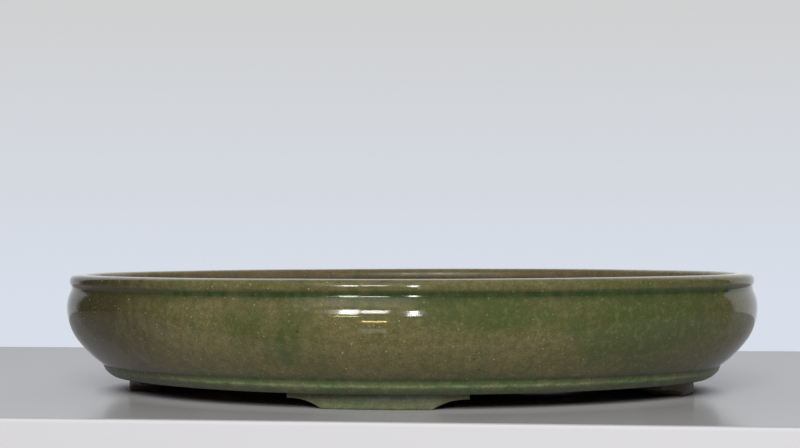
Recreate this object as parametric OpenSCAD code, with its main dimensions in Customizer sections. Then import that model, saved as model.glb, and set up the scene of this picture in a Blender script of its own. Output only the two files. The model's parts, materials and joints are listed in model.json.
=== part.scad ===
// Oval footed pot for a small tree, built from luted clay pieces.
// Millimetres, +Z up, origin on the ground under the middle of the pot.
// The long axis lies along X and the front is towards -Y.

/* [Overall] */
// Greatest length, measured over the belly
pot_length = 400; // [370:1:430]
// Greatest width, measured over the belly
pot_width = 310; // [290:1:340]
// Height from the ground to the top of the lip
pot_height = 68; // [65:0.5:73]

/* [Wall] */
// Thickness of the wall
wall_thickness = 8; // [6.5:0.5:10]
// Rise from the widest line of the belly to the neck groove under the lip
shoulder_rise = 11.5; // [9.5:0.5:14]
// Profile radius of the shoulder, above the widest line
shoulder_radius = 23; // [20:0.5:30]
// Profile radius of the belly, as a share of the drop from its widest line to the base
belly_curve = 0.96; // [0.8:0.02:1.1]
// Profile radius of the lower wall, which runs in to the base, as a share of the same drop
lower_curve = 2.04; // [1.8:0.02:2.3]

/* [Lip] */
// Height of the lip band
lip_height = 7.5; // [6.5:0.5:10]
// Width of the lip band, from its outer to its inner face
lip_width = 12.5; // [11:0.5:15]
// How far the lip's outer face stands in from the belly line
lip_setback = 1.7; // [0.5:0.1:3]
// Rounding of the lip's two upper edges
lip_round = 3.2; // [2:0.1:4]
// Rounding of the lip's two lower edges, which makes the neck groove
neck_round = 2; // [1:0.1:2.5]

/* [Base] */
// Thickness of the floor slab, and the height of the bead round it
floor_thickness = 8; // [7:0.5:10]
// How far the floor slab's edge stands in from the belly line
floor_setback = 34; // [32:0.5:36]
// How far the circle of the bead's profile stands in from the belly line
bead_setback = 20; // [19:0.5:22]
// Profile radius of the bead
bead_round = 12; // [11.5:0.1:13]
// Height of that circle's centre above the underside of the bead
bead_lift = 11.4; // [10:0.1:11.4]

/* [Feet] */
// Height of the feet, from the ground to the underside of the floor
foot_height = 8.5; // [7:0.5:11]
// How far the outer face of the feet stands in from the belly line
foot_setback = 36; // [36:0.5:40]
// Thickness of the feet, from outer to inner face
foot_thickness = 16; // [12:0.5:20]
// Straight nose at each end of a foot, above its hollow curve
foot_nose = 2; // [1:0.1:4]
// Length along the top of the front and back feet
side_foot_length = 92; // [80:1:115]
// Length on the ground of the front and back feet
side_foot_base = 58; // [45:1:68]
// Length along the top of the left and right feet
end_foot_length = 88; // [75:1:95]
// Length on the ground of the left and right feet
end_foot_base = 56; // [45:1:64]

/* [Holes] */
// Diameter of the two drain holes
drain_diameter = 30; // [20:1:36]
// Distance between the drain holes' centres, along the pot
drain_spacing = 150; // [110:1:170]
// Diameter of the four tie wire holes
wire_diameter = 5; // [3:0.5:7]
// Distance between the tie wire holes' centres, along the pot
wire_spacing_x = 190; // [150:1:200]
// Distance between the tie wire holes' centres, across the pot
wire_spacing_y = 100; // [80:1:110]

/* [Hidden] */
$fn = 96;
glazed_colour = "#5f583a";
lip_colour = "#6c6744";
bead_colour = "#66724a";
foot_colour = "#8b9173";
clay_colour = "#7a5a44";

// Arcs that run into each other meet on the long side of a triangle with sides 3, 4 and 5
turn_run = 0.8;
turn_rise = 0.6;
// and lap over each other there by a hair
lap = 0.000001;

// The belly line is an oval of four arcs, two round the ends and two along the sides,
// whose centres lie at the corners of such triangles
half_width = pot_width / 2;
end_x = pot_length - pot_width;
end_radius = pot_length / 2 - end_x;
side_y = end_x * turn_rise / turn_run;
side_radius = end_radius + end_x / turn_run;

// Each arc's share of the plan, as directions from its centre
end_share = [[0, 0], [turn_run, -turn_rise], [turn_run, turn_rise]];
side_share = [[0, 0], [turn_run, turn_rise - lap], [0, 2 * turn_rise], [-turn_run, turn_rise - lap]];

// Heights where the pieces meet
floor_top = foot_height + floor_thickness;
neck_height = pot_height - lip_height;

belly_height = neck_height - shoulder_rise;
belly_drop = belly_height - floor_top;

// The wall's section is three arcs, each tangent to the next, with this centre for the lowest one
belly_radius = belly_curve * belly_drop;
lower_radius = lower_curve * belly_drop;
lower_inset = belly_radius + (lower_radius - belly_radius) * turn_run;
lower_height = belly_height + (lower_radius - belly_radius) * turn_rise;

// Each arc's share of the section, as directions from its centre: the outside is towards -x
shoulder_share = [[0, -lap], [-1, -lap], [-1, 1], [0, 1]];
belly_share = [[0, 0], [-1, 0], [-turn_run, -turn_rise - lap]];
lower_share = [[0, 0], [-turn_run, -turn_rise], [0, -1]];

// Length by which a cutting shape runs past what it cuts
overrun = 1;

// A section turned about one arc's centre, and kept only inside that arc's share of the plan
module turned_arc(radius, share) {
    intersection() {
        rotate_extrude() translate([-radius, 0]) children();
        translate([0, 0, -overrun])
            linear_extrude(pot_height + 2 * overrun) polygon(pot_length * share);
    }
}

// Carries a section once round the oval: its x is the distance inside the belly line, its y the height
module round_the_oval() {
    for (half_turn = [0, 180]) rotate([0, 0, half_turn]) {
        translate([end_x, 0, 0]) turned_arc(end_radius, end_share) children();
        translate([0, -side_y, 0]) turned_arc(side_radius, side_share) children();
    }
}

// Plan of an oval that stands in from the belly line by the setback
module oval_plan(setback) {
    join_x = end_x + (end_radius - setback) * turn_run;
    intersection() {
        translate([0, -side_y]) circle(r = side_radius - setback);
        translate([0, side_y]) circle(r = side_radius - setback);
        square([2 * join_x, pot_width], center = true);
    }
    for (end = [0, 1]) mirror([end, 0]) intersection() {
        translate([end_x, 0]) circle(r = end_radius - setback);
        translate([join_x, -half_width]) square([pot_length, pot_width]);
    }
}

// One arc of the wall's section
module wall_arc(radius, share) {
    intersection() {
        difference() {
            circle(r = radius);
            circle(r = radius - wall_thickness);
        }
        polygon(2 * radius * share);
    }
}

// Section of the wall, cut level where it stands on the base and where it carries the lip
module wall_section() {
    intersection() {
        union() {
            translate([shoulder_radius, belly_height]) wall_arc(shoulder_radius, shoulder_share);
            translate([belly_radius, belly_height]) wall_arc(belly_radius, belly_share);
            translate([lower_inset, lower_height]) wall_arc(lower_radius, lower_share);
        }
        translate([-overrun, floor_top]) square([half_width, neck_height - floor_top]);
    }
}

// Section of the lip: a flat band with all four edges rounded
module lip_section() {
    outer = lip_setback;
    inner = lip_setback + lip_width;
    upper_edge = pot_height - lip_round;
    lower_edge = neck_height + neck_round;
    polygon([
        [outer, lower_edge], [outer, upper_edge],
        [outer + lip_round, pot_height], [inner - lip_round, pot_height],
        [inner, upper_edge], [inner, lower_edge],
        [inner - neck_round, neck_height], [outer + neck_round, neck_height]
    ]);
    for (x = [outer + lip_round, inner - lip_round]) translate([x, upper_edge]) circle(r = lip_round);
    for (x = [outer + neck_round, inner - neck_round]) translate([x, lower_edge]) circle(r = neck_round);
}

// Section of the bead: a flat back against the floor slab and a round front
module bead_section() {
    centre = bead_setback + bead_round;
    intersection() {
        union() {
            translate([centre, foot_height + bead_lift]) circle(r = bead_round);
            translate([centre, foot_height]) square([floor_setback, floor_thickness]);
        }
        translate([0, foot_height]) square([floor_setback, floor_thickness]);
    }
}

// Outline of a foot seen from outside: a bracket with a hollow curve at each end
module foot_outline(length, base) {
    run = (length - base) / 2;
    rise = foot_height - foot_nose;
    hollow = (pow(run, 2) + pow(rise, 2)) / (2 * rise);
    difference() {
        translate([-length / 2, 0]) square([length, foot_height]);
        for (end = [-1, 1]) translate([end * length / 2, rise - hollow]) circle(r = hollow);
    }
}

// A foot under the front of the oval, or turned to another side
module foot(turn, length, base) {
    color(foot_colour) intersection() {
        round_the_oval() translate([foot_setback, 0]) square([foot_thickness, foot_height]);
        rotate([0, 0, turn])
            rotate([90, 0, 0]) linear_extrude(pot_length) foot_outline(length, base);
    }
}

// Oval slab with its drain holes and tie wire holes
module floor_slab() {
    hole_length = floor_thickness + 2 * overrun;
    color(clay_colour) difference() {
        translate([0, 0, foot_height]) linear_extrude(floor_thickness) oval_plan(floor_setback);
        translate([0, 0, foot_height - overrun]) {
            for (x = [-drain_spacing / 2, drain_spacing / 2])
                translate([x, 0, 0]) cylinder(d = drain_diameter, h = hole_length);
            for (x = [-wire_spacing_x / 2, wire_spacing_x / 2], y = [-wire_spacing_y / 2, wire_spacing_y / 2])
                translate([x, y, 0]) cylinder(d = wire_diameter, h = hole_length);
        }
    }
}

module belly_wall() {
    color(glazed_colour) round_the_oval() wall_section();
}

module rim_lip() {
    color(lip_colour) round_the_oval() lip_section();
}

module base_bead() {
    color(bead_colour) round_the_oval() bead_section();
}

module foot_front() {
    foot(0, side_foot_length, side_foot_base);
}

module foot_back() {
    foot(180, side_foot_length, side_foot_base);
}

module foot_left() {
    foot(-90, end_foot_length, end_foot_base);
}

module foot_right() {
    foot(90, end_foot_length, end_foot_base);
}

floor_slab();
belly_wall();
rim_lip();
base_bead();
foot_front();
foot_back();
foot_left();
foot_right();
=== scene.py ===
# %% [markdown]
# # A shallow oval pot for a small tree
#
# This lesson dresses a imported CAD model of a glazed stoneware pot. The CAD gives its pieces and
# sizes: a floor, a bellied wall, a lip, a bead round the base and four bracket feet. Blender adds
# what a kiln adds: soft edges, runny glaze, specks, bare clay where no glaze went, and light.

# %% Load the frame and keep its box
import json
from math import asin, atan2, cos, pi, radians, sin
from types import SimpleNamespace

import bmesh
import bpy
import numpy as np
from mathutils import Matrix, Vector


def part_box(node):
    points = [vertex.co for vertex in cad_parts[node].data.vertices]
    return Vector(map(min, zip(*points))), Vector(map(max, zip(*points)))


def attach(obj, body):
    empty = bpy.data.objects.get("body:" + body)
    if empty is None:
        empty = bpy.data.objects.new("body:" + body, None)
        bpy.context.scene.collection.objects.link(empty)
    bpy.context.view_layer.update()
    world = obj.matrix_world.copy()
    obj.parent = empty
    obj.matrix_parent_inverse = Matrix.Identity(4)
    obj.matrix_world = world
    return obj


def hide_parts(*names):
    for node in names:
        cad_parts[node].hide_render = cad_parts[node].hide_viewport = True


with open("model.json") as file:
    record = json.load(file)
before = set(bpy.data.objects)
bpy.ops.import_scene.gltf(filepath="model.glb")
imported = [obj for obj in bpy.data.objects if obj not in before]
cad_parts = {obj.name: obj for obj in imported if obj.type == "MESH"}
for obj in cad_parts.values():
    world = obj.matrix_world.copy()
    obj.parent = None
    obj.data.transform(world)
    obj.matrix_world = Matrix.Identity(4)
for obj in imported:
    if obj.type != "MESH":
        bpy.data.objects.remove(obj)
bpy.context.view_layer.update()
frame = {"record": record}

# %% [markdown]
# ## Where the pieces are
#
# The heights and insets that neighbours share are read from the boxes of the CAD nodes, so a new
# pack moves the dressed pot along with it. What a box can't tell, such as a radius, is written
# where it is first needed. Sections are drawn as (inset, height): the inset is the distance inside
# the belly line, which is the widest line of the pot.

# %% Read the heights and insets
mm = 0.001
wall_low, wall_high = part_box("belly_wall")
slab_low, slab_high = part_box("floor_slab")
lip_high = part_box("rim_lip")[1]

half_length, half_width = wall_high.x, wall_high.y
floor_top, neck_height, pot_height = wall_low.z, wall_high.z, lip_high.z
foot_height = slab_low.z
lip_inset = half_length - lip_high.x
slab_inset = half_length - slab_high.x
print(f"pot {2e3 * half_length:.1f} x {2e3 * half_width:.1f} x {1e3 * pot_height:.1f} mm,",
      f"neck at {1e3 * neck_height:.1f}, floor at {1e3 * floor_top:.1f} mm")

# %% [markdown]
# ## The camera
#
# The pot is seen from about a metre away, two centimetres above its rim and to the right of its
# middle, so the front foot stands lower in the picture than the end feet. A camera can be turned
# by three angles, but their order is easy to mix up. This one is built from the directions it
# faces, and each small turn is one line. Lengths are in metres and turns in radians.

# %% Set the camera
picture_width = 800
focal_pixels = 1700
camera_distance, camera_side, camera_height = 0.9904, -0.0042, 0.0881
camera_yaw, camera_pitch, camera_roll = -0.1439, -0.0084, 0.0037

ahead = Vector((sin(camera_yaw), cos(camera_yaw), 0))
right = Vector((cos(camera_yaw), -sin(camera_yaw), 0))
up = Vector((0, 0, 1))
place = -camera_distance * ahead + camera_side * right + camera_height * up
ahead, up = (ahead * cos(camera_pitch) - up * sin(camera_pitch),
             up * cos(camera_pitch) + ahead * sin(camera_pitch))
right, up = (right * cos(camera_roll) - up * sin(camera_roll),
             up * cos(camera_roll) + right * sin(camera_roll))

camera = bpy.data.objects.new("camera", bpy.data.cameras.new("camera"))
camera.data.sensor_width = 36
camera.data.lens = focal_pixels / picture_width * camera.data.sensor_width
camera.matrix_world = Matrix.Translation(place) @ Matrix((right, up, -ahead)).transposed().to_4x4()
bpy.context.scene.collection.objects.link(camera)
bpy.context.scene.camera = camera
print(f"camera with a {camera.data.lens:.0f} mm lens at", [round(x, 3) for x in place])

# %% [markdown]
# ## Short words for node trees
#
# Geometry Nodes and materials are both made of nodes. They could be wired by hand in the editor,
# but a script can be read, changed and run again. A few short helpers keep each recipe to a line
# for each step.

# %% Node helpers
def add(tree, kind, inputs=None, **options):
    """Adds a node. A node or socket among its inputs is linked, any other value is set."""
    node = tree.nodes.new(kind)
    for name, value in options.items():
        setattr(node, name, value)
    for name, value in (inputs or {}).items():
        if isinstance(value, bpy.types.Node):
            value = value.outputs[0]
        if isinstance(value, bpy.types.NodeSocket):
            tree.links.new(value, node.inputs[name])
        else:
            node.inputs[name].default_value = value
    return node


def find(tree, kind):
    return next(node for node in tree.nodes if node.type == kind)


def calc(tree, operation, *values, clamp=False):
    """One step of arithmetic on numbers."""
    return add(tree, "ShaderNodeMath", dict(enumerate(values)), operation=operation, use_clamp=clamp)


def vector(tree, operation, *values):
    """One step of arithmetic on places and directions."""
    return add(tree, "ShaderNodeVectorMath", dict(enumerate(values)), operation=operation)


print("node helpers: add, find, calc, vector")

# %% Pattern helpers
def ramp(tree, value, start, end, low=0.0, high=1.0, smooth=True):
    """Carries the stretch from start to end over to the stretch from low to high, and no further."""
    kind = "SMOOTHSTEP" if smooth else "LINEAR"
    sockets = {"Value": value, "From Min": start, "From Max": end, "To Min": low, "To Max": high}
    return add(tree, "ShaderNodeMapRange", sockets, interpolation_type=kind)


def between(tree, share, under, over):
    """A number between two others."""
    return add(tree, "ShaderNodeMix", {0: share, 2: under, 3: over}, data_type="FLOAT").outputs[0]


def blend(tree, share, under, over):
    """A colour between two others."""
    return add(tree, "ShaderNodeMix", {0: share, 6: under, 7: over}, data_type="RGBA").outputs[2]


def noise(tree, where, size, detail=2.0, roughness=0.5):
    """Cloudy noise with lumps of about this size."""
    sockets = {"Vector": where, "Scale": 1 / size, "Detail": detail, "Roughness": roughness}
    return add(tree, "ShaderNodeTexNoise", sockets).outputs[0]


print("pattern helpers: ramp, between, blend, noise")

# %% [markdown]
# ## The clay body
#
# Stoneware fires to a warm brown with grog in it: crumbs of older clay, some dark and some pale.
# It shows inside the pot, under it and on the soles of the feet. A picture of clay could be wrapped
# round each piece, but it would need seams and a map. Noise and specks that read the object's own
# coordinates need neither, and in millimetres a size in the recipe is a size on the pot.

# %% Millimetres and specks
smallest_speck, speck_core = 0.35, 0.55


def object_millimetres(tree, stretch=(1, 1, 1)):
    """The object's own coordinates in millimetres. A factor below 1 draws patterns out along its axis."""
    place = add(tree, "ShaderNodeTexCoord").outputs["Object"]
    return vector(tree, "MULTIPLY", place, [factor / mm for factor in stretch]).outputs[0]


def specks(tree, where, spacing, size, share):
    """Round specks: one in each cell of a grid, kept in a share of the cells."""
    cells = add(tree, "ShaderNodeTexVoronoi", {"Vector": where, "Scale": 1 / spacing})
    chance = add(tree, "ShaderNodeSeparateColor", {0: cells.outputs["Color"]}).outputs
    largest = size / spacing
    reach = ramp(tree, chance[1], 0, 1, smallest_speck * largest, largest, smooth=False)
    dot = ramp(tree, cells.outputs["Distance"], reach, calc(tree, "MULTIPLY", reach, speck_core))
    return calc(tree, "MULTIPLY", dot, calc(tree, "LESS_THAN", chance[0], share))


print(f"specks from {smallest_speck:.0%} of their full size, with a solid core of {speck_core:.0%}")

# %% Clay recipe
clay_light, clay_dark = (0.178, 0.122, 0.087, 1), (0.128, 0.084, 0.059, 1)
grog_pale, grog_dark = (0.36, 0.28, 0.19, 1), (0.035, 0.022, 0.016, 1)
clay_relief, refraction = 0.12 * mm, 1.44


def clay_body(tree):
    """The clay's colour, roughness and surface height."""
    where = object_millimetres(tree)
    cloud = ramp(tree, noise(tree, where, size=30, detail=5, roughness=0.62), 0.28, 0.72)
    colour = blend(tree, cloud, clay_dark, clay_light)
    colour = blend(tree, specks(tree, where, spacing=2.2, size=0.5, share=0.5), colour, grog_pale)
    colour = blend(tree, specks(tree, where, spacing=3.1, size=0.55, share=0.4), colour, grog_dark)
    grain = noise(tree, where, size=0.8, detail=4, roughness=0.65)
    return colour, ramp(tree, grain, 0.3, 0.7, low=0.72, high=0.92).outputs[0], grain


def new_material(name):
    material = bpy.data.materials.new(name)
    material.use_nodes = True
    return material, material.node_tree


def finish_material(name, tree, colour, roughness, height, relief):
    shader = find(tree, "BSDF_PRINCIPLED")
    bump = add(tree, "ShaderNodeBump", {"Height": height, "Strength": 1.0, "Distance": relief}).outputs[0]
    for socket, value in (("Base Color", colour), ("Roughness", roughness), ("Normal", bump)):
        tree.links.new(value, shader.inputs[socket])
    shader.inputs["IOR"].default_value = refraction
    print("material", name, "with", len(tree.nodes), "nodes")


bare_clay, tree = new_material("bare_clay")
finish_material("bare_clay", tree, *clay_body(tree), clay_relief)

# %% [markdown]
# ## The glaze
#
# An iron and copper glaze like this one is glossy and moves while it melts. It runs green where it
# lies thick, breaks pale on edges where it is thin, and holds light specks of undissolved material.
# All that could be painted by hand on a flattened map. Instead, three numbers on the mesh say where
# the shape matters: pool is thick glaze, thin is a drained edge, and bare is where the clay shows.
# A mesh without one of them counts as zero. The rest is noise, drawn out upright because glaze runs
# downwards.

# %% Patterns in the melt
run_stretch = (1, 1, 0.4)
patch_edge, patch_heart = 1.25, 0.35


def melt_patterns(tree):
    """The noises that a glaze's colour and gloss share, and the three numbers on the mesh."""
    where, run = object_millimetres(tree), object_millimetres(tree, run_stretch)
    streak = noise(tree, run, size=6, detail=3, roughness=0.6)
    amounts = {key: add(tree, "ShaderNodeAttribute", attribute_name=key).outputs["Fac"]
               for key in ("pool", "thin", "bare")}
    return SimpleNamespace(where=where, streak=streak,
                           cloud=noise(tree, run, size=24, detail=3, roughness=0.55),
                           grain=noise(tree, where, size=1.1, detail=2, roughness=0.6),
                           wander=ramp(tree, streak, 0.25, 0.75, -0.35, 0.35, smooth=False), **amounts)


def patch(tree, melt, middle, reach, strength):
    """A soft patch with a ragged edge, by its middle and its reach along x, y and z in millimetres."""
    away = vector(tree, "DIVIDE", vector(tree, "SUBTRACT", melt.where, middle), reach)
    away = vector(tree, "LENGTH", away).outputs["Value"]
    return ramp(tree, calc(tree, "ADD", away, melt.wander), patch_edge, patch_heart, 0.0, strength)


def tone(colour, *factors):
    """A colour made darker or lighter: all of it by one factor, or red, green and blue by three."""
    return [part * factor for part, factor in zip(colour, factors * (3 // len(factors)))] + [1]


print(f"patches fade between {patch_heart} and {patch_edge} of their reach")

# %% Brown and green
ochre_factors = (1.62, 1.66, 1.5)


def green_amount(tree, melt, greenness, patches):
    """The share of green: slow clouds, then the patches that are placed, then fine streaks."""
    share = ramp(tree, melt.cloud, 0.3, 0.7, greenness - 0.3, greenness + 0.3)
    for spot in patches:
        share = calc(tree, "ADD", share, patch(tree, melt, *spot))
    return calc(tree, "ADD", share, calc(tree, "MULTIPLY", melt.wander, 0.5), clamp=True)


def melt_colour(tree, melt, green_share, brown, green):
    """Brown and green, mottled, with a dark grain and with ochre crumbs, mostly in the brown."""
    mottle = noise(tree, melt.where, size=3.6, detail=3, roughness=0.6)
    crumbs = ramp(tree, noise(tree, melt.where, size=1.5, detail=2, roughness=0.6), 0.50, 0.72, 0.0, 0.31)
    crumbs = calc(tree, "MULTIPLY", crumbs, ramp(tree, green_share, 0.2, 1.0, low=1.0, high=0.3))
    colour = blend(tree, green_share, brown, green)
    for share, coat in ((ramp(tree, mottle, 0.32, 0.56, low=0.44, high=0.0), tone(brown, 0.55)),
                        (ramp(tree, mottle, 0.50, 0.70, low=0.0, high=0.30), tone(brown, 1.5)),
                        (ramp(tree, melt.grain, 0.34, 0.60, low=0.30, high=0.0), tone(brown, 0.45)),
                        (crumbs, tone(brown, *ochre_factors))):
        colour = blend(tree, share, colour, coat)
    return colour


print("ochre crumbs are", ochre_factors, "times as bright as the brown in red, green and blue")

# %% Pools, drained edges and specks
fine_speck, bold_speck = (0.36, 0.34, 0.21, 1), (0.48, 0.43, 0.26, 1)
pinhole = (0.012, 0.010, 0.007, 1)


def pool_and_drain(tree, melt):
    """How much glaze has gathered in a groove, and how far it has drained off an edge."""
    gathered = ramp(tree, melt.streak, 0.3, 0.7, low=0.7, high=1.0)
    ragged = ramp(tree, melt.grain, 0.35, 0.62, low=0.45, high=1.0)
    gaps = noise(tree, melt.where, size=5, detail=3, roughness=0.6)
    broken = calc(tree, "MULTIPLY", melt.thin, ragged)
    return (calc(tree, "MULTIPLY", melt.pool, gathered, clamp=True),
            calc(tree, "MULTIPLY", broken, ramp(tree, gaps, 0.36, 0.62, low=0.25, high=1.0), clamp=True))


def glaze_specks(tree, melt, molten):
    """Fine and bold pale specks, which dissolve where the glaze is most molten."""
    still = calc(tree, "SUBTRACT", 1.0, calc(tree, "MULTIPLY", molten, 0.95))
    fine = specks(tree, melt.where, spacing=0.9, size=0.36, share=0.7)
    bold = specks(tree, melt.where, spacing=2.4, size=0.56, share=0.34)
    return (calc(tree, "MULTIPLY", fine, calc(tree, "MULTIPLY", still, 0.27)),
            calc(tree, "MULTIPLY", bold, calc(tree, "MULTIPLY", still, 0.58)))


print("fine specks", fine_speck[:3], "bold specks", bold_speck[:3])

# %% Glaze recipe
# Patches darken the glaze towards this share of its brown: on the wall a darker left end and small dark
# marks, on the bead painted shade.
darkening_factor = 0.32
# Painted shade: a dark red-brown for the end feet, which stand in the shade under the pot.
shaded_red_clay = (0.060, 0.033, 0.026, 1)
glaze_relief = 0.05 * mm


def glaze(name, brown, green, pooled, drained, patches, darkened, shaded, greenness, pitted, shine):
    material, tree = new_material(name)
    melt = melt_patterns(tree)
    green_share = green_amount(tree, melt, greenness, patches)
    pool, broken = pool_and_drain(tree, melt)
    molten = calc(tree, "MAXIMUM", pool, calc(tree, "MULTIPLY", green_share, 0.7))
    fine, bold = glaze_specks(tree, melt, molten)
    pits = specks(tree, melt.where, spacing=15, size=0.7, share=pitted)

    colour = melt_colour(tree, melt, green_share, brown, green)
    layers = [(pool, pooled), (broken, drained)]
    # Darkened patches, which on the bead and its left foot are painted shade.
    layers += [(patch(tree, melt, *spot), tone(brown, darkening_factor)) for spot in darkened]
    layers += [(fine, fine_speck), (bold, bold_speck), (pits, pinhole)]

    clay_colour, clay_roughness, clay_grain = clay_body(tree)
    edge = ramp(tree, noise(tree, melt.where, size=9, detail=3, roughness=0.6), 0.3, 0.7, -0.12, 0.12)
    some = calc(tree, "GREATER_THAN", melt.bare, 0.02)
    bare = calc(tree, "ADD", melt.bare, calc(tree, "MULTIPLY", edge, some), clamp=True)
    layers += [(bare, clay_colour)]
    # Painted shade on the end feet, in a dark red-brown clay.
    layers += [(patch(tree, melt, *spot), shaded_red_clay) for spot in shaded]
    for share, coat in layers:
        colour = blend(tree, share, colour, coat)

    gloss = ramp(tree, melt.streak, 0.2, 0.8, *shine)
    gloss = calc(tree, "ADD", gloss, calc(tree, "MULTIPLY", broken, 0.08))
    ripple = calc(tree, "MULTIPLY", noise(tree, melt.where, size=5, detail=1), 0.5)
    height = calc(tree, "ADD", ripple, calc(tree, "MULTIPLY", bold, 0.10))
    finish_material(name, tree, colour, between(tree, bare, gloss, clay_roughness),
                    between(tree, bare, height, clay_grain), glaze_relief)
    return material


print(f"glaze relief {1e3 * glaze_relief:.2f} mm, clay relief {1e3 * clay_relief:.2f} mm")

# %% [markdown]
# ## What the kiln did to this pot, and painted shade
#
# The wall's right half ran greener, above all near the shoulder, and a few green runs and brown
# clouds lie elsewhere. The left end is darker, with a few small dark marks, and a few pinholes
# opened. The end feet, half wiped of their glaze, are painted a dark red-brown that stands for the
# shade under the pot, and the left end of the bead and its foot get painted shade as well. Noise
# alone can't put a mark in its place, so these are placed one by one: middle, reach and strength,
# where a negative strength is browner.

# %% Mix the two glazes
wall_patches = [((130, -105, 44), (90, 70, 21), 0.70), ((54, -147, 51), (44, 24, 12), 0.57),
                ((70, -138, 34), (38, 30, 13), -0.45), ((-40, -150, 38), (9, 20, 16), 0.56),
                ((-66, -144, 47), (22, 20, 14), 0.18), ((10, -152, 38), (50, 20, 22), -0.30),
                ((-88, -130, 30), (50, 40, 14), -0.30), ((-165, -80, 45), (40, 60, 40), -0.25),
                ((-75, -138, 56), (34, 24, 8), -0.35), ((0, -150, 67), (600, 600, 7), -0.10)]
# The first patch makes the wall's left end darker; the small ones are dark marks in the glaze.
wall_darkening = [((-178, -70, 52), (88, 85, 55), 0.88), ((-34, -152, 42), (1.0, 6, 1.0), 1.0),
              ((55, -134, 22), (0.7, 6, 0.7), 0.8), ((53, -140, 28), (0.7, 6, 0.7), 0.8),
              ((-182, -59, 51), (6, 1.2, 0.9), 0.9)]
olive_glaze = glaze("olive_glaze", brown=(0.130, 0.111, 0.047, 1), green=(0.058, 0.079, 0.025, 1),
                    pooled=(0.021, 0.039, 0.012, 1), drained=(0.27, 0.22, 0.13, 1),
                    patches=wall_patches, darkened=wall_darkening, shaded=[],
                    greenness=0.34, pitted=0.15, shine=(0.05, 0.10))

foot_patches = [((-37, -119, 6), (17, 14, 7), -0.9), ((39, -119, 6), (17, 14, 7), -0.9)]
# Painted shade: the left end of the bead and the foot below it are darkened where little light reaches under
# the pot.
bead_painted_shade = [((-150, -60, 12), (60, 75, 20), 0.6)]
# Painted shade on both end feet under the pot, darker on the left, in a dark red-brown.
end_foot_shade = [((157, 0, 2), (25, 70, 5.5), 0.85), ((-157, 0, 2), (25, 70, 5.5), 0.95)]
moss_glaze = glaze("moss_glaze", brown=(0.128, 0.120, 0.060, 1), green=(0.056, 0.094, 0.024, 1),
                   pooled=(0.024, 0.042, 0.015, 1), drained=(0.245, 0.295, 0.165, 1),
                   patches=foot_patches, darkened=bead_painted_shade, shaded=end_foot_shade,
                   greenness=0.72, pitted=0.0, shine=(0.24, 0.36))

# %% [markdown]
# ## The oval
#
# The pot's plan is four arcs that run into each other: two round the ends and two along the sides.
# A stretched circle comes close, but its sides bend differently and its insets are no ovals of the
# same family. So the arcs' centres are set out as a template maker would, on the corners of
# triangles with sides 3, 4 and 5. A bare loop of edges is enough for Geometry Nodes to follow. It
# runs a hair inside the CAD's line, which leaves room for the small warp that comes later.

# %% Draw the oval
skin = 0.15 * mm
fine_steps = 20001
end_centre = 2 * (half_length - half_width)
end_radius = half_length - end_centre
side_centre = 0.75 * end_centre
side_radius = end_radius + 1.25 * end_centre
turn = atan2(3, 4)


def oval(inset, count):
    """Points round the oval, anticlockwise from its left end, evenly spaced along it."""
    angles = np.linspace(-pi, pi, fine_steps)
    at_end = np.abs(np.cos(angles)) >= cos(turn) - 1e-12
    radius = np.where(at_end, end_radius, side_radius) - inset
    x = np.where(at_end, np.sign(np.cos(angles)) * end_centre, 0) + radius * np.cos(angles)
    y = np.where(at_end, 0, -np.sign(np.sin(angles)) * side_centre) + radius * np.sin(angles)
    run = np.concatenate([[0], np.cumsum(np.hypot(np.diff(x), np.diff(y)))])
    marks = np.linspace(0, run[-1], count, endpoint=False)
    return np.stack([np.interp(marks, run, x), np.interp(marks, run, y)], 1)


def edge_chain(name, points, closed, marks=None):
    """An unlinked object of edges, with a number for each point under each name in marks."""
    mesh = bpy.data.meshes.new(name)
    count = len(points)
    edges = [(here, (here + 1) % count) for here in range(count if closed else count - 1)]
    mesh.from_pydata([(x, y, 0) for x, y in points], edges, [])
    for key, values in (marks or {}).items():
        numbers = mesh.attributes.new(key, "FLOAT", "POINT").data
        numbers.foreach_set("value", np.asarray(values, np.float32))
    return bpy.data.objects.new(name, mesh)


belly_line = edge_chain("belly_line", oval(skin, 560), True)
print("belly line:", len(belly_line.data.vertices), "points,",
      f"end radius {1e3 * end_radius:.1f}, side radius {1e3 * side_radius:.1f} mm")

# %% [markdown]
# ## A tree that carries a section round the oval
#
# Wall, lip and bead are each one section carried along the same line, the way a potter draws a
# template along a rim. A Spin or Screw only knows circles, so Curve to Mesh does it here. Nothing
# hand-built is dead straight: a slow noise warps space by a few tenths of a millimetre, with the
# same seed for every piece, so that neighbours bend together and the seams stay shut.

# %% Tree helpers
warp_length = 75 * mm
warp_lean = (0.5, 0.5, 0.75)


def new_tree(name, **inputs):
    """A Geometry Nodes tree with named inputs, given by their kind."""
    tree = bpy.data.node_groups.new(name, "GeometryNodeTree")
    for kind, labels in inputs.items():
        for label in labels:
            tree.interface.new_socket(label, in_out="INPUT", socket_type="NodeSocket" + kind)
    tree.interface.new_socket("Geometry", in_out="OUTPUT", socket_type="NodeSocketGeometry")
    return tree, tree.nodes.new("NodeGroupInput").outputs, tree.nodes.new("NodeGroupOutput")


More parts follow.
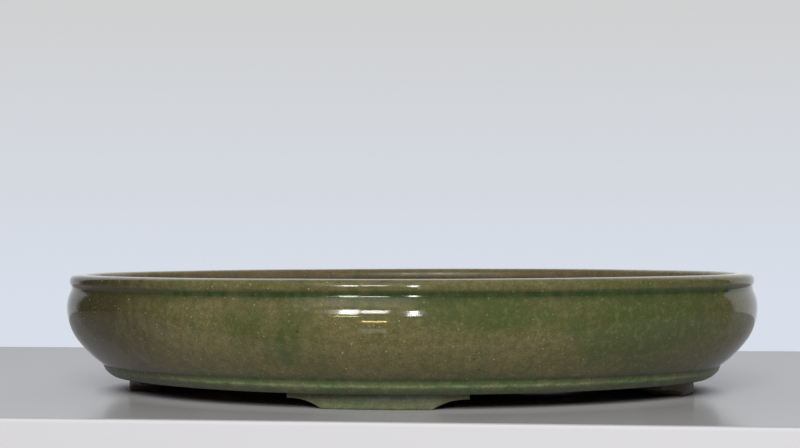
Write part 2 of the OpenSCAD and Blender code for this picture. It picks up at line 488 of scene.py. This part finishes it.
def hand_warp(tree, shape, amount, seed):
    """Moves each point by a slow noise: sideways everywhere, and downwards towards the rim."""
    place = add(tree, "GeometryNodeInputPosition")
    sockets = {"Vector": place, "W": seed, "Scale": 1 / warp_length, "Detail": 1.0}
    wave = add(tree, "ShaderNodeTexNoise", sockets, noise_dimensions="4D")
    rise = calc(tree, "DIVIDE", add(tree, "ShaderNodeSeparateXYZ", {0: place}).outputs["Z"], pot_height)
    reach = add(tree, "ShaderNodeCombineXYZ", {0: 1.0, 1: 1.0, 2: rise})
    offset = vector(tree, "MULTIPLY", vector(tree, "SUBTRACT", wave.outputs["Color"], warp_lean), reach)
    offset = add(tree, "ShaderNodeVectorMath", {0: offset, "Scale": amount}, operation="SCALE")
    return add(tree, "GeometryNodeSetPosition", {"Geometry": shape, "Offset": offset})


def chain_curve(tree, chain):
    edges = add(tree, "GeometryNodeObjectInfo", {"Object": chain}).outputs["Geometry"]
    return add(tree, "GeometryNodeMeshToCurve", {0: edges})


def carry_section(tree, given, caps):
    """The section carried along the path, with or without end faces."""
    path = add(tree, "GeometryNodeSetCurveNormal", {0: chain_curve(tree, given["Path"])}, mode="Z_UP")
    section = chain_curve(tree, given["Section"])
    return add(tree, "GeometryNodeCurveToMesh", {"Curve": path, "Profile Curve": section, "Fill Caps": caps})


def end_tree(tree, out, shape, material):
    shape = add(tree, "GeometryNodeRealizeInstances", {0: shape})
    shape = add(tree, "GeometryNodeSetMaterial", {"Geometry": shape, "Material": material})
    tree.links.new(shape.outputs[0], out.inputs[0])
    print("tree", tree.name, "with", len(tree.nodes), "nodes")


print(f"waves of {1e3 * warp_length:.0f} mm warp the pieces")

# %% Sweep tree
sweep_tree, given, out = new_tree("sweep", Object=("Path", "Section"), Float=("Warp", "Seed"),
                                  Material=("Finish",))
band = carry_section(sweep_tree, given, caps=False)
band = hand_warp(sweep_tree, band, given["Warp"], given["Seed"])
end_tree(sweep_tree, out, band, given["Finish"])

# %% [markdown]
# ## From a tree to a plain mesh
#
# A modifier could stay on the object, but the export wants plain meshes. So each tree is evaluated
# once and its result copied. Faces are turned outwards, and edges sharper than 40 degrees stay
# crisp under smooth shading.

# %% Make a piece from a tree
warp_amount, warp_seed = 0.5 * mm, 3.0
crisp_angle = radians(40)


def grow(name, tree, values):
    """Runs a tree with these inputs and keeps the result in place of the CAD node of that name."""
    piece = bpy.data.objects.new(name, bpy.data.meshes.new(name))
    bpy.context.scene.collection.objects.link(piece)
    maker = piece.modifiers.new("maker", "NODES")
    maker.node_group = tree
    for socket in tree.interface.items_tree:
        if socket.in_out == "INPUT":
            maker[socket.identifier] = values[socket.name]
    graph = bpy.context.evaluated_depsgraph_get()
    mesh = bpy.data.meshes.new_from_object(piece.evaluated_get(graph), preserve_all_data_layers=True,
                                           depsgraph=graph)
    piece.modifiers.remove(maker)
    piece.data = mesh
    work = bmesh.new()
    work.from_mesh(mesh)
    bmesh.ops.recalc_face_normals(work, faces=work.faces)
    work.to_mesh(mesh)
    work.free()
    mesh.shade_smooth()
    mesh.set_sharp_from_angle(angle=crisp_angle)
    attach(piece, "root")
    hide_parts(name)
    places = 1e3 * np.array([vertex.co for vertex in mesh.vertices])
    print(f"{name}: {len(mesh.polygons)} faces, from {places.min(0).round(1)} to {places.max(0).round(1)} mm")
    return piece


def sweep(name, section, finish):
    return grow(name, sweep_tree, {"Path": belly_line, "Section": section, "Warp": warp_amount,
                                         "Seed": warp_seed, "Finish": finish})


print(f"pieces warp by up to {1e3 * warp_amount / 2:.2f} mm sideways, with seed {warp_seed:.0f}")

# %% [markdown]
# ## The outline
#
# Seen from the side, the pot is one flowing line: rolled lip, groove, shoulder, belly, a long lower
# curve, and the bead. Each stretch is an arc or a superellipse with the CAD's heights. The lip's
# foot hangs a little lower than in the CAD, and the shoulder turns in a little tighter to meet it.

# %% Stretches of the outline
shoulder_rise, shoulder_radius = 11.5 * mm, 20 * mm
lip_width, lip_hang, lip_roundness, lip_seat = 12.5 * mm, 0.6 * mm, 2.6, 5
bead_setback, bead_round, bead_lift, bead_edge = 20 * mm, 12 * mm, 11.4 * mm, 0.5 * mm

belly_height = neck_height - shoulder_rise
belly_drop = belly_height - floor_top
belly_radius, lower_radius = 0.96 * belly_drop, 2.04 * belly_drop
shoulder_middle = (shoulder_radius, belly_height)
belly_middle = (belly_radius, belly_height)
lower_middle = (belly_radius + 0.8 * (lower_radius - belly_radius),
                belly_height + 0.6 * (lower_radius - belly_radius))
lip_foot = neck_height - lip_hang
lip_middle = (lip_inset + lip_width / 2, (lip_foot + pot_height) / 2)
bead_middle = (bead_setback + bead_round, foot_height + bead_lift)
turn_down = 180 + np.degrees(turn)


def arc(centre, radius, start, end, count):
    """Points on an arc of the section, from one angle to another, in degrees."""
    angles = np.radians(np.linspace(start, end, count))
    return np.stack([centre[0] + radius * np.cos(angles), centre[1] + radius * np.sin(angles)], 1)


def level(middle, radius, height):
    """The angle, in degrees, where an arc reaches a height on its outer side."""
    return 180 - np.degrees(asin((height - middle[1]) / radius))


def rolled(start, end, count):
    """Part of the lip's superellipse, between two angles in degrees."""
    angles = np.radians(np.linspace(start, end, count))
    circle = np.stack([np.cos(angles), np.sin(angles)], 1)
    half_size = np.array([lip_width / 2, (pot_height - lip_foot) / 2])
    return lip_middle + half_size * np.sign(circle) * np.abs(circle) ** (2 / lip_roundness)


shoulder_top = level(shoulder_middle, shoulder_radius, neck_height)
wall_foot = level(lower_middle, lower_radius, floor_top)
lip_outside = rolled(90, 270 - lip_seat, 900)
wall_outside = np.concatenate([arc(shoulder_middle, shoulder_radius, shoulder_top, 180, 400),
                               arc(belly_middle, belly_radius, 180, turn_down, 500)[1:],
                               arc(lower_middle, lower_radius, turn_down, wall_foot, 700)[1:]])
bead_outside = arc(bead_middle, bead_round, level(bead_middle, bead_round, floor_top),
                   level(bead_middle, bead_round, foot_height + bead_edge), 500)
print(f"belly at {1e3 * belly_height:.1f} mm, its radius {1e3 * belly_radius:.1f},",
      f"lower curve {1e3 * lower_radius:.1f} mm")

# %% [markdown]
# ## Glaze in the grooves
#
# Where two round stretches meet, molten glaze fills the corner. A Bevel modifier can't round an
# edge that two pieces share, so a ball is rolled into the corner of the drawing: its centre is
# where the two stretches, moved outwards by its radius, cross. Each piece gets half of its arc.

# %% Roll a ball into both corners
neck_ball, base_ball = 4.0 * mm, 2.5 * mm


def ball_corner(upper, lower, radius, count):
    """What a ball in the corner leaves of two stretches, and its own arc in two halves."""
    moved = []
    for line in (upper, lower):
        step = np.gradient(line, axis=0)
        normal = np.stack([step[:, 1], -step[:, 0]], 1)
        moved.append(line + radius * normal / np.linalg.norm(normal, axis=1, keepdims=True))
    gaps = np.linalg.norm(moved[0][:, None] - moved[1][None], axis=2)
    last, first = np.unravel_index(np.argmin(gaps), gaps.shape)
    middle = (moved[0][last] + moved[1][first]) / 2
    spokes = upper[last] - middle, lower[first] - middle
    start, end = (np.degrees(np.arctan2(rise, run)) for run, rise in spokes)
    half_way = (start + end) / 2
    halves = arc(middle, radius, start, half_way, count), arc(middle, radius, half_way, end, count)
    return upper[:last], *halves, lower[first + 1:]


lip_line, neck_above, neck_below, wall_line = ball_corner(lip_outside, wall_outside, neck_ball, 7)
wall_line, base_above, base_below, bead_line = ball_corner(wall_line, bead_outside, base_ball, 6)
neck_seam, base_seam = neck_above[-1], base_above[-1]
print("groove under the lip at", (1e3 * neck_seam).round(2), "mm,",
      "groove over the bead at", (1e3 * base_seam).round(2), "mm")

# %% [markdown]
# ## The belly wall
#
# The wall is the pot's bowl, from the groove under the lip to the groove over the bead. It could be
# a sheet with a Solidify modifier, but that slants its edges, and this wall ends level at the floor
# and under the lip. So both faces are drawn. The inside is bare clay. Outside, glaze pools in both
# grooves and bleeds down from the upper one, and soft bands along the outline say how much.

# %% Belly wall
wall_thickness = 8 * mm


def thinned(line, count):
    """The same line with evenly spaced points."""
    run = np.concatenate([[0], np.cumsum(np.linalg.norm(np.diff(line, axis=0), axis=1))])
    marks = np.linspace(0, run[-1], count)
    return np.stack([np.interp(marks, run, values) for values in line.T], 1)


def bands(heights, *rows):
    """Soft bands added up, each by its strength, its height and its spread."""
    return sum(strength * np.exp(-((heights - middle) / spread) ** 2) for strength, middle, spread in rows)


def section_chain(name, points, **marks):
    """A closed section. Curve to Mesh lays x outwards and y down, so both change sign here."""
    return edge_chain(name, -np.asarray(points), True, marks)


inner_lower, inner_shoulder = lower_radius - wall_thickness, shoulder_radius - wall_thickness
inner = np.concatenate([
    arc(lower_middle, inner_lower, level(lower_middle, inner_lower, floor_top), turn_down, 14),
    arc(belly_middle, belly_radius - wall_thickness, turn_down, 180, 10)[1:],
    arc(shoulder_middle, inner_shoulder, 180, level(shoulder_middle, inner_shoulder, neck_height), 9)[1:]])
outer = np.concatenate([neck_below, thinned(wall_line, 56), base_above])
wall_points = np.concatenate([outer, [(slab_inset, floor_top)], inner, [(lip_middle[0], neck_height)]])

outside = np.arange(len(wall_points)) < len(outer)
wall_pool = bands(wall_points[:, 1], (0.95, neck_seam[1] + 0.9 * mm, 2.2 * mm),
                  (0.45, neck_height, 5 * mm), (0.75, base_seam[1], 1.8 * mm))
wall_section = section_chain("wall_section", wall_points, pool=outside * np.clip(wall_pool, 0, 1),
                             bare=np.where(outside, 0.0, 1.0))
belly_wall = sweep("belly_wall", wall_section, olive_glaze)

# %% [markdown]
# ## The lip
#
# The lip is a rolled band round the mouth. A bevelled box would do, but light would break at its
# corners. A superellipse gives each side a full round face, so that light runs along it in a thin
# line. Glaze drains off its top, and towards the inside it thins out until the clay shows through.

# %% Rim lip
lip_points = np.concatenate([thinned(lip_line, 40), neck_above, rolled(270 + lip_seat, 450, 40)[:-1]])
across = (lip_points[:, 0] - lip_middle[0]) / (lip_width / 2)
heights = lip_points[:, 1]
lip_thin = bands(heights, (0.30, pot_height - 0.6 * mm, 1.2 * mm)) * (across < 0.95)
lip_pool = (0.13 + bands(heights, (0.9, neck_seam[1] + 0.6 * mm, 1.25 * mm))) * (across < 0)
lip_bare = 0.35 * np.clip((across - 0.5) / 0.35, 0, 1)
lip_section = section_chain("lip_section", lip_points, pool=lip_pool, thin=lip_thin, bare=lip_bare)
rim_lip = sweep("rim_lip", lip_section, olive_glaze)

# %% [markdown]
# ## The bead
#
# A rounded band covers the seam of wall and floor. Along it runs a faint crest where the glaze
# breaks into a pale line. The line could be left to the material, but a real rise also catches the
# light. The underside is wiped bare so that the pot doesn't stick to the kiln shelf.

# %% Base bead
crest_height, crest_rise, crest_spread = 13.0 * mm, 0.2 * mm, 0.8 * mm
low_steps = np.array([(0.9, -0.35), (2.2, -0.5)]) * mm

swell = thinned(bead_line, 40)
swell[:, 0] -= bands(swell[:, 1], (crest_rise, crest_height, crest_spread))
bead_points = np.concatenate([base_below, swell, swell[-1] + low_steps,
                              [(slab_inset, foot_height), (slab_inset, floor_top)]])
heights = bead_points[:, 1]
face = np.arange(len(bead_points)) < len(bead_points) - 3
bead_pool = bands(heights, (0.85, base_seam[1], 1.2 * mm), (0.6, foot_height, 1.4 * mm))
bead_section = section_chain("bead_section", bead_points, pool=face * np.clip(bead_pool, 0, 1),
                             thin=face * bands(heights, (0.70, crest_height, 0.9 * mm)),
                             bare=np.where(face, 0.0, 1.0))
base_bead = sweep("base_bead", bead_section, moss_glaze)

# %% [markdown]
# ## The feet
#
# Each foot is a short band under the floor, cut away at both ends by a hollow curve so that it
# reads as a bracket. A Boolean could cut the curves, at the price of a messy mesh. Instead, the tree
# carries a plain block along the foot's own stretch of the oval and lifts its underside to the
# curve, which is an arc of a circle.

# %% Foot tree
foot_tree, given, out = new_tree("foot", Object=("Path", "Section"), Vector=("Along",),
                                 Float=("Half Length", "Height", "Rise", "Hollow", "Warp", "Seed"),
                                 Material=("Finish",))
block = carry_section(foot_tree, given, caps=True)
spot = add(foot_tree, "GeometryNodeInputPosition")
reach = vector(foot_tree, "DOT_PRODUCT", spot, given["Along"]).outputs["Value"]
from_tip = calc(foot_tree, "SUBTRACT", given["Half Length"], calc(foot_tree, "ABSOLUTE", reach))
hollow_square, tip_square = (calc(foot_tree, "POWER", side, 2.0) for side in (given["Hollow"], from_tip))
under_root = calc(foot_tree, "MAXIMUM", calc(foot_tree, "SUBTRACT", hollow_square, tip_square), 0.0)
centre_height = calc(foot_tree, "SUBTRACT", given["Rise"], given["Hollow"])
lift = calc(foot_tree, "ADD", centre_height, calc(foot_tree, "SQRT", under_root))
lift = calc(foot_tree, "MAXIMUM", lift, 0.0)

split = add(foot_tree, "ShaderNodeSeparateXYZ", {0: spot}).outputs
kept = calc(foot_tree, "SUBTRACT", 1.0, calc(foot_tree, "DIVIDE", lift, given["Height"]))
raised = calc(foot_tree, "ADD", lift, calc(foot_tree, "MULTIPLY", split["Z"], kept))
seat = add(foot_tree, "ShaderNodeCombineXYZ", {0: split["X"], 1: split["Y"], 2: raised})
block = add(foot_tree, "GeometryNodeSetPosition", {"Geometry": block, "Position": seat})
block = hand_warp(foot_tree, block, given["Warp"], given["Seed"])
end_tree(foot_tree, out, block, given["Finish"])

# %% [markdown]
# A foot's section is a block with rounded lower edges, where the glaze is thin, and a bare sole and
# back. The front and back feet keep their glaze, and the end feet are half wiped. Each foot's
# stretch is cut from a fine loop of the oval along the feet's middle line.

# %% Section of the feet
foot_inset = half_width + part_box("foot_front")[0].y
foot_thickness, foot_edge = 16 * mm, 1.1 * mm
glazed_bare, wiped_bare = 0.0, 0.5

half = foot_thickness / 2
foot_points = np.concatenate([
    np.stack([np.full(8, -half), np.linspace(foot_height, foot_edge, 8)], 1),
    arc((-half + foot_edge, foot_edge), foot_edge, 180, 270, 6)[1:],
    arc((half - foot_edge, foot_edge), foot_edge, 270, 360, 6),
    [(half, foot_height)]])
heights = foot_points[:, 1]
outer_face = foot_points[:, 0] < -half + 0.9 * foot_edge
foot_thin = outer_face * (0.22 + bands(heights, (0.08, 0.6 * mm, 1.0 * mm)))
# Glaze pooled at the top of the outer face, under the bead; its dark green there is also painted shade from
# the bead above.
foot_pool_and_shade = outer_face * bands(heights, (1.0, foot_height, 1.0 * mm))
glazed, wiped = (section_chain("foot_section", foot_points, pool=foot_pool_and_shade, thin=foot_thin,
                               bare=np.where(outer_face, face_bare, 1.0))
                 for face_bare in (glazed_bare, wiped_bare))
print("foot section with", len(foot_points), "points,", int(outer_face.sum()), "of them on the outer face")

# %% Four feet
foot_nose, side_ground, end_ground = 3.2 * mm, 58 * mm, 56 * mm
foot_steps = 97
middle_line = oval(foot_inset + foot_thickness / 2, 4000)


def foot(name, outward, ground_length, section):
    """A foot whose middle faces outward, with its length from the CAD node's box."""
    outward = np.array(outward)
    along = np.array([-outward[1], outward[0]])
    half_long = abs(np.dot(along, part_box(name)[1][:2]))
    run, rise = half_long - ground_length / 2, foot_height - foot_nose
    near = middle_line[(middle_line @ outward > 0) & (np.abs(middle_line @ along) < half_long)]
    near = near[np.argsort(near @ along)]
    marks = np.linspace(-half_long, half_long, foot_steps)
    stretch = np.stack([np.interp(marks, near @ along, values) for values in near.T], 1)
    return grow(name, foot_tree, {
        "Path": edge_chain(name + "_line", stretch, False), "Section": section, "Along": (*along, 0.0),
        "Half Length": half_long, "Height": foot_height, "Rise": rise,
        "Hollow": (run ** 2 + rise ** 2) / (2 * rise),
        "Warp": 0.5 * warp_amount, "Seed": warp_seed, "Finish": moss_glaze})


feet = [foot("foot_front", (0.0, -1.0), side_ground, glazed),
        foot("foot_back", (0.0, 1.0), side_ground, glazed),
        foot("foot_left", (-1.0, 0.0), end_ground, wiped),
        foot("foot_right", (1.0, 0.0), end_ground, wiped)]

# %% [markdown]
# ## The floor
#
# The floor is an oval slab of bare clay with two drain holes and four small holes for tie wires.
# Six Booleans would cut them, but Fill Curve is simpler: it leaves out every closed loop inside
# another. So the holes are circles set on points, and the slab is that filled outline with a
# thickness.

# %% Floor tree
weld = 1e-6
drain_steps, wire_steps = 64, 24
floor_tree, given, out = new_tree("floor", Object=("Outline", "Drains", "Wires"),
                                  Float=("Drain Radius", "Wire Radius", "Low", "Thickness"),
                                  Material=("Finish",))


def joined(tree, parts):
    together = tree.nodes.new("GeometryNodeJoinGeometry")
    for part in parts:
        tree.links.new(part.outputs[0], together.inputs[0])
    return together


loops = [chain_curve(floor_tree, given["Outline"])]
for points, radius, count in (("Drains", "Drain Radius", drain_steps), ("Wires", "Wire Radius", wire_steps)):
    ring = add(floor_tree, "GeometryNodeCurvePrimitiveCircle", {"Resolution": count, "Radius": given[radius]})
    spots = add(floor_tree, "GeometryNodeObjectInfo", {"Object": given[points]}).outputs["Geometry"]
    rings = add(floor_tree, "GeometryNodeInstanceOnPoints", {"Points": spots, "Instance": ring})
    loops.append(add(floor_tree, "GeometryNodeRealizeInstances", {0: rings}))
plate = add(floor_tree, "GeometryNodeFillCurve", {"Curve": joined(floor_tree, reversed(loops))})
sole = add(floor_tree, "GeometryNodeFlipFaces", {0: plate})
top = add(floor_tree, "GeometryNodeExtrudeMesh", {"Mesh": plate, "Offset": (0, 0, 1), "Individual": False,
                                                  "Offset Scale": given["Thickness"]})
slab = add(floor_tree, "GeometryNodeMergeByDistance",
           {"Geometry": joined(floor_tree, (sole, top)), "Distance": weld})
raised = add(floor_tree, "ShaderNodeCombineXYZ", {2: given["Low"]})
slab = add(floor_tree, "GeometryNodeSetPosition", {"Geometry": slab, "Offset": raised})
end_tree(floor_tree, out, slab, given["Finish"])

# %% Floor slab
mounts = {mount["name"]: mount for mount in frame["record"]["mounts"]}
drain_spots = [mounts[name]["pos_m"][:2] for name in ("drain_hole_left", "drain_hole_right")]
drain_radius = mounts["drain_hole_left"]["dims"]["r_mm"] * mm
wires = mounts["tie_wire_holes"]["dims"]
wire_x, wire_y = wires["spacing_x_mm"] / 2 * mm, wires["spacing_y_mm"] / 2 * mm
wire_spots = [(x, y) for x in (-wire_x, wire_x) for y in (-wire_y, wire_y)]
floor_slab = grow("floor_slab", floor_tree, {
    "Outline": edge_chain("slab_line", oval(slab_inset, 360), True),
    "Drains": edge_chain("drain_spots", drain_spots, False), "Drain Radius": drain_radius,
    "Wires": edge_chain("wire_spots", wire_spots, False), "Wire Radius": wires["hole_r_mm"] * mm,
    "Low": slab_low.z, "Thickness": slab_high.z - slab_low.z, "Finish": bare_clay})

# %% [markdown]
# ## The shelf
#
# The pot stands near the front of a plain pale shelf. It could be a bare plane, but its front edge
# shows, so it is a block with one bevelled edge. Its paint has a slight shine. Under the pot it
# stays matt, which keeps the shadow there as deep as it should be.

# %% Shelf
shelf_back, shelf_front, shelf_side, shelf_thickness = 0.358, -0.175, 2.5, 0.06
shelf_bevel = 2 * mm
work = bmesh.new()
bmesh.ops.create_cube(work, size=1)
for vertex in work.verts:
    vertex.co = Vector((2 * vertex.co.x * shelf_side, shelf_back if vertex.co.y > 0 else shelf_front,
                        0 if vertex.co.z > 0 else -shelf_thickness))
front_edge = [edge for edge in work.edges if all(end.co.y < 0 and end.co.z == 0 for end in edge.verts)]
bmesh.ops.bevel(work, geom=front_edge, offset=shelf_bevel, segments=4, affect="EDGES", profile=0.5)
shelf_mesh = bpy.data.meshes.new("shelf")
work.to_mesh(shelf_mesh)
work.free()
shelf = bpy.data.objects.new("shelf", shelf_mesh)
bpy.context.scene.collection.objects.link(shelf)
print(f"shelf from {shelf_front} to {shelf_back} m")

# %% Paint the shelf
paint_roughness = 0.17
matt_until, glossy_from = 0.80, 0.95
level_side = 0.8


def shelf_paint(name, paint, shine):
    """Matt paint inside the pot's oval, partly glossy outside it."""
    coat, tree = new_material(name)
    glossy = find(tree, "BSDF_PRINCIPLED")
    matt = tree.nodes.new("ShaderNodeBsdfDiffuse")
    glossy.inputs["Base Color"].default_value = matt.inputs["Color"].default_value = paint
    glossy.inputs["Roughness"].default_value = paint_roughness
    place = add(tree, "ShaderNodeTexCoord").outputs["Object"]
    away = vector(tree, "LENGTH", vector(tree, "MULTIPLY", place, (1 / half_length, 1 / half_width, 0)))
    share = ramp(tree, away.outputs["Value"], matt_until, glossy_from, 0.0, shine)
    both = add(tree, "ShaderNodeMixShader", {0: share, 1: matt, 2: glossy})
    tree.links.new(both.outputs[0], find(tree, "OUTPUT_MATERIAL").inputs["Surface"])
    shelf_mesh.materials.append(coat)


shelf_paint("shelf_top", (0.43, 0.42, 0.42, 1), shine=0.64)
# The front edge is painted paler than the top: painted light, for the light that falls on it from the front.
shelf_paint("shelf_edge_painted_light", (0.56, 0.55, 0.56, 1), shine=0.0)
for side in shelf_mesh.polygons:
    side.material_index = 0 if side.normal.z > level_side else 1
print("shelf paints:", [coat.name for coat in shelf_mesh.materials])

# %% [markdown]
# ## The room
#
# What a glaze mirrors makes it look wet: here a bright wall at both ends, where the pot is seen at
# a slant, and a dark room in front. The wall could be built, but then it would also light the pot
# too much. So it is the world's colour, and the world answers each kind of ray by itself: the camera
# sees a pale wall that turns bluer downwards, mirror rays see the bright wall and the dark room, and
# all others see an even, soft light.

# %% Room
backdrop_low, backdrop_high = (0.683, 0.735, 0.825, 1), (0.631, 0.634, 0.636, 1)
mirrored_wall = (0.92, 0.95, 1.0, 1)
world = bpy.data.worlds.new("room")
world.use_nodes = True
tree = world.node_tree
direction = add(tree, "ShaderNodeTexCoord").outputs["Generated"]
towards = add(tree, "ShaderNodeSeparateXYZ", {0: direction}).outputs
flat = calc(tree, "SQRT", calc(tree, "SUBTRACT", 1.0, calc(tree, "MULTIPLY", towards["Z"], towards["Z"])))
behind = calc(tree, "DIVIDE", towards["Y"], flat)

# The bright wall starts further back on the left, ends low down, and is dimmer overhead and on the left
wall_start = calc(tree, "SUBTRACT", behind, ramp(tree, towards["X"], -0.7, -0.2, low=0.06, high=0.0))
wall_share = ramp(tree, wall_start, 0.46, 0.54)
for dimmer in (ramp(tree, towards["Z"], -0.35, -0.25),
               ramp(tree, towards["Z"], 0.55, 0.80, low=1.0, high=0.25),
               ramp(tree, towards["X"], -0.9, -0.2, low=0.74, high=1.0)):
    wall_share = calc(tree, "MULTIPLY", wall_share, dimmer)
mirrored = ramp(tree, wall_share, 0, 1, low=0.04, high=0.92, smooth=False)
soft = calc(tree, "ADD", ramp(tree, behind, -0.6, 0.8, low=0.05, high=0.12),
            ramp(tree, towards["Z"], 0.0, 0.9, low=0.0, high=0.22))

rays = add(tree, "ShaderNodeLightPath").outputs
room_light = between(tree, rays["Is Glossy Ray"], soft, mirrored)
backdrop = blend(tree, ramp(tree, towards["Z"], -0.036, 0.136, smooth=False), backdrop_low, backdrop_high)
sky = find(tree, "BACKGROUND")
tree.links.new(blend(tree, rays["Is Camera Ray"], mirrored_wall, backdrop), sky.inputs["Color"])
tree.links.new(between(tree, rays["Is Camera Ray"], room_light, 1.0), sky.inputs["Strength"])
bpy.context.scene.world = world
print("room with", len(tree.nodes), "nodes")

# %% [markdown]
# ## Window, lamp and soft light
#
# A window with two panes and a lamp shine on the belly, the lip and the groove. A curtain fades out
# beside the window, a haze lies above it, and pale and coloured strips below it show on the belly
# alone. A light has two jobs here: to be mirrored and to brighten the colours. One strong light could
# do both, but then its reflection would set how bright the pot is. So each pane does only one of them.

# %% Light makers
pane_distance = 2.0
pot, belly = (bpy.data.collections.new(name) for name in ("pot", "belly"))
for piece in (belly_wall, rim_lip, base_bead, floor_slab, *feet):
    pot.objects.link(piece)
belly.objects.link(belly_wall)


def pane(name, azimuth, elevation, width, height, radiance, mirrored=True, lit=pot, tint=(1, 1, 1)):
    """A bright rectangle that faces the pot, by its direction in degrees, its size and its brightness.

    It is either mirrored or a soft light. It acts on the pieces in lit, or on everything if that is None."""
    turned, raised = radians(azimuth), radians(elevation)
    away = Vector((sin(turned) * cos(raised), -cos(turned) * cos(raised), sin(raised)))
    light = bpy.data.lights.new(name, "AREA")
    light.shape, light.size, light.size_y = "RECTANGLE", width, height
    light.energy, light.color = radiance * pi * width * height, tint
    lamp = bpy.data.objects.new(name, light)
    lamp.location = Vector((0, -half_width, belly_height)) + pane_distance * away
    lamp.rotation_euler = (-away).to_track_quat("-Z", "Y").to_euler()
    lamp.visible_glossy, lamp.visible_diffuse = mirrored, not mirrored
    if lit:
        lamp.light_linking.receiver_collection = lit
    bpy.context.scene.collection.objects.link(lamp)
    return lamp


# %% Lights
amber, leafy = (1.0, 0.72, 0.28), (0.75, 1.0, 0.45)
lamps = [pane("pane_left", -14.4, 13.5, 0.19, 0.46, 30), pane("pane_right", -6.5, 14.5, 0.26, 0.27, 26),
         pane("lamp", 5.3, 10.0, 0.09, 0.54, 44),
         pane("warm_strip", -6.4, -9.8, 0.26, 0.06, 42, lit=belly, tint=amber),
         pane("leafy_strip", -14.6, 1.5, 0.26, 0.06, 24, lit=belly, tint=leafy),
         pane("key", 6.0, 27.0, 1.0, 0.8, 17.5, mirrored=False, lit=None),
         pane("fill", 3.0, -12.0, 1.4, 0.5, 5.4, mirrored=False, lit=None),
         pane("back_light", 180.0, 28.0, 1.6, 0.8, 10.0, mirrored=False)]
lamps += [pane("curtain", -17.9 - 1.6 * fold, 13.5, 0.075, 0.46 - 0.06 * fold, 5.0 * 0.55 ** fold)
          for fold in range(5)]
lamps.append(pane("pale_strip", -7.2, -27.0, 0.24, 0.26, 1.8, lit=belly))
lamps += [pane("haze", -17.0 + 2.0 * layer, 40.0, 1.35 - 0.3 * layer, 1.05 - 0.2 * layer, 0.45)
          for layer in range(3)]
bpy.context.scene.view_settings.view_transform = "Standard"
print("lights:", [lamp.name for lamp in lamps])
